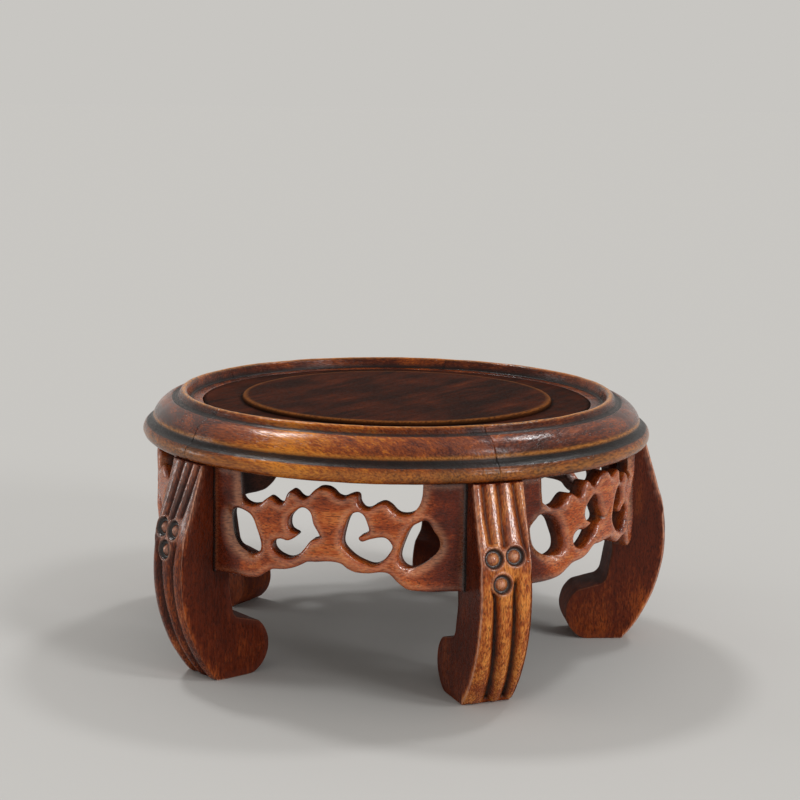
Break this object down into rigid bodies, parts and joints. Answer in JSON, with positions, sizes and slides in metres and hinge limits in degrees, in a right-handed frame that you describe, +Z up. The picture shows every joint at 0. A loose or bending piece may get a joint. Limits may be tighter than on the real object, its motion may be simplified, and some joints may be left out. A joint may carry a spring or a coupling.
{
  "type": "chinese hardwood stand",
  "caption": "Round carved hardwood display stand: moulded ring with a shallow dish on bowed scroll legs, with pierced aprons between them.",
  "frame": {"origin": "on the stand's axis at floor level, in the plane of the five foot soles", "axes": "+Z up along the axis of the round ring; leg 1 faces -Y, and the legs are numbered counter-clockwise seen from above"},
  "size_m": [0.1594, 0.1565, 0.0754],
  "materials": {
    "ring_wood": "waxed and polished amber-brown hardwood",
    "panel_wood": "waxed and polished brown hardwood",
    "leg_wood": "waxed and polished reddish-brown hardwood, darker in the grooves",
    "apron_wood": "waxed and polished red-brown hardwood, purple-brown at the ends",
    "tongue_wood": "planed, glued, hidden",
    "bamboo": "split, rounded, hidden"
  },
  "bodies": {
    "root": {"apron_1": "apron_wood", "apron_2": "apron_wood", "apron_3": "apron_wood", "apron_4": "apron_wood", "apron_5": "apron_wood", "apron_pins": "bamboo", "centre_panel": "panel_wood", "leg_1": "leg_wood", "leg_2": "leg_wood", "leg_3": "leg_wood", "leg_4": "leg_wood", "leg_5": "leg_wood", "ring_segment_1": "ring_wood", "ring_segment_2": "ring_wood", "ring_segment_3": "ring_wood", "ring_segment_4": "ring_wood", "ring_segment_5": "ring_wood", "ring_spline_1": "tongue_wood", "ring_spline_2": "tongue_wood", "ring_spline_3": "tongue_wood", "ring_spline_4": "tongue_wood", "ring_spline_5": "tongue_wood"}
  },
  "joints": []
}
